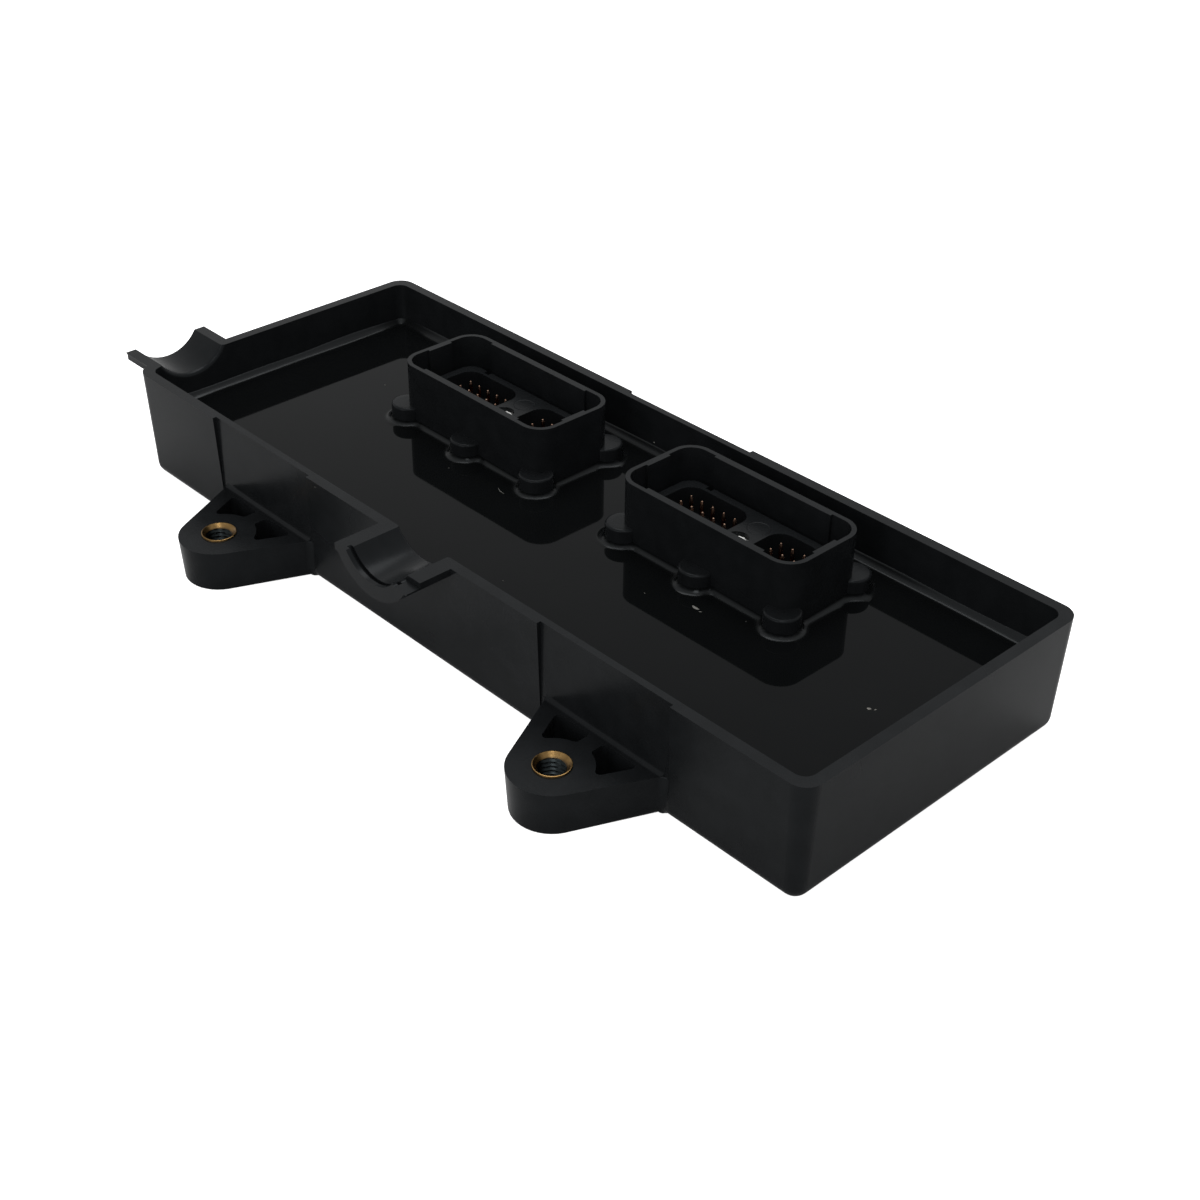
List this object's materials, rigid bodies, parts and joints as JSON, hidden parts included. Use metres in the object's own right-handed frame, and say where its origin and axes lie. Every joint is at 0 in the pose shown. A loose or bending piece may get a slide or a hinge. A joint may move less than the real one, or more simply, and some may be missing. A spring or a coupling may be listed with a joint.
{
  "type": "engine control unit",
  "caption": "Potted engine control unit: open black tray with screw ears and wire troughs, filled with compound, with upright plug headers for the harness.",
  "frame": {"origin": "middle of the tray's flat underside", "axes": "+Z out of the tray's open side, X along the tray, the wall with two screw ears faces -Y"},
  "size_m": [0.276, 0.1528, 0.0392],
  "materials": {
    "housing_plastic": "satin black moulded plastic",
    "potting": "glossy black cast compound",
    "insert_brass": "turned brass",
    "pin_metal": "plated contact metal with bright tips",
    "bright_steel": "plated steel",
    "board_laminate": "green solder mask on laminate",
    "chip_plastic": "black moulded chip body",
    "can_metal": "drawn aluminium",
    "part_ceramic": "fired ceramic"
  },
  "bodies": {
    "root": {"tray": "housing_plastic", "header_shell_left": "housing_plastic", "header_shell_right": "housing_plastic", "potting_compound": "potting", "insert_front_left": "insert_brass", "insert_front_right": "insert_brass", "insert_back": "insert_brass", "contact_pins_left": "pin_metal", "contact_pins_right": "pin_metal", "jackscrew_nut_left": "bright_steel", "jackscrew_nut_right": "bright_steel", "header_screws_left": "bright_steel", "header_screws_right": "bright_steel", "board_screws": "bright_steel", "clock_crystal": "bright_steel", "circuit_board": "board_laminate", "microcontroller": "chip_plastic", "memory_chip": "chip_plastic", "driver_chips": "chip_plastic", "bus_transceivers": "chip_plastic", "voltage_regulator": "chip_plastic", "power_transistors": "chip_plastic", "surge_diodes": "chip_plastic", "power_inductor": "chip_plastic", "bus_choke": "chip_plastic", "shunt_resistors": "part_ceramic", "ceramic_capacitors": "part_ceramic", "bulk_capacitors": "can_metal"}
  },
  "joints": []
}
